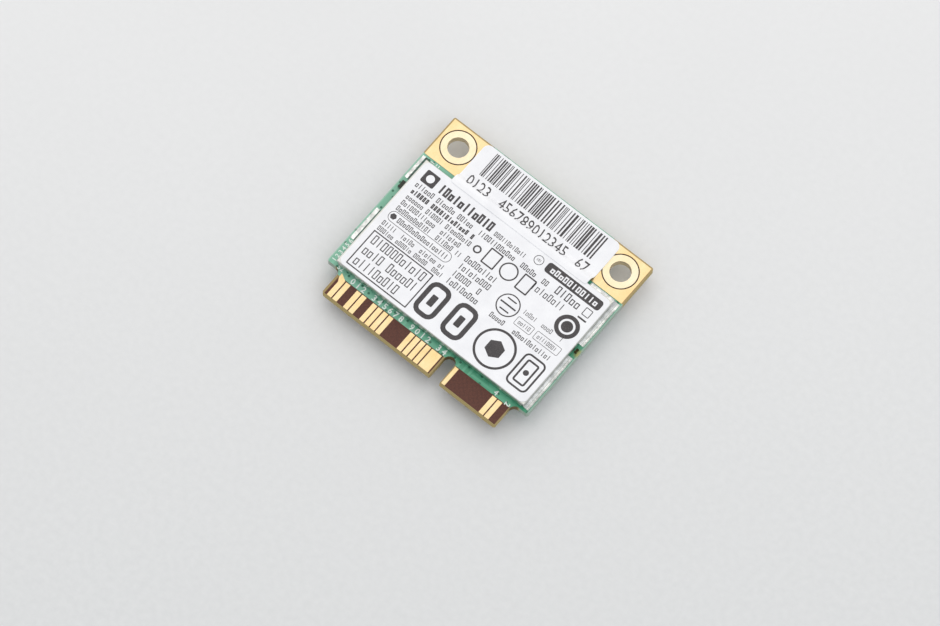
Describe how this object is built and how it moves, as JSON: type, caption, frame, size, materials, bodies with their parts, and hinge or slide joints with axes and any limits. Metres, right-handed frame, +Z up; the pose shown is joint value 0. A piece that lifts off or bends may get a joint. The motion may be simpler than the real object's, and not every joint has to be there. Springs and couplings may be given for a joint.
{
  "type": "laptop wifi card",
  "caption": "Half-length wireless card for a laptop: keyed edge contacts, two screw-down tabs, shield cans on both faces and two coaxial antenna sockets",
  "frame": {"origin": "on the flat lid of the hidden can, which the card rests on, under the middle of the card's outline", "axes": "+X across the card, to the side of the notch and pin 2; +Y from the edge contacts to the screw tabs; +Z up through the labelled face"},
  "size_m": [0.0296, 0.0268, 0.0039],
  "materials": {
    "board_laminate": "green solder mask on glass-fibre laminate, satin",
    "gold_plating": "thin gold plating on copper, satin",
    "tinned_sheet": "tin-plated sheet, folded, satin",
    "solder": "reflowed tin solder, uneven gloss",
    "label_film": "white film label, satin, printed in charcoal",
    "socket_moulding": "moulded heat-proof plastic",
    "socket_gold": "gold-plated turned brass, bright",
    "chip_moulding": "black epoxy moulding, matt",
    "crystal_package": "welded metal lid on ceramic, satin",
    "inductor_core": "pressed ferrite, matt",
    "capacitor_ceramic": "ceramic body with tinned ends",
    "resistor_ceramic": "dark glazed ceramic with tinned ends"
  },
  "bodies": {
    "root": {"circuit_board": "board_laminate", "even_pin_contacts": "gold_plating", "odd_pin_contacts": "gold_plating", "left_hold_down_eyelet": "gold_plating", "right_hold_down_eyelet": "gold_plating", "left_ground_pads": "gold_plating", "right_ground_pads": "gold_plating", "label_side_shield_fence": "tinned_sheet", "label_side_shield_lid": "tinned_sheet", "hidden_side_shield_fence": "tinned_sheet", "hidden_side_shield_lid": "tinned_sheet", "label_side_solder_seams": "solder", "hidden_side_solder_seams": "solder", "rear_solder_seam": "solder", "main_label": "label_film", "serial_label": "label_film", "main_antenna_insulator": "socket_moulding", "main_antenna_ring": "socket_gold", "main_antenna_pin": "socket_gold", "auxiliary_antenna_insulator": "socket_moulding", "auxiliary_antenna_ring": "socket_gold", "auxiliary_antenna_pin": "socket_gold", "main_radio_chip": "chip_moulding", "voltage_regulator": "chip_moulding", "configuration_memory": "chip_moulding", "front_end_switches": "chip_moulding", "power_amplifiers": "chip_moulding", "power_inductors": "inductor_core", "reference_crystal": "crystal_package", "antenna_diplexers": "capacitor_ceramic", "hidden_side_capacitors": "capacitor_ceramic", "hidden_side_resistors": "resistor_ceramic", "short_range_radio_chip": "chip_moulding", "short_range_crystal": "crystal_package", "low_noise_amplifiers": "chip_moulding", "label_side_capacitors": "capacitor_ceramic", "label_side_resistors": "resistor_ceramic", "left_edge_capacitor": "capacitor_ceramic", "right_edge_resistor": "resistor_ceramic"}
  },
  "joints": []
}
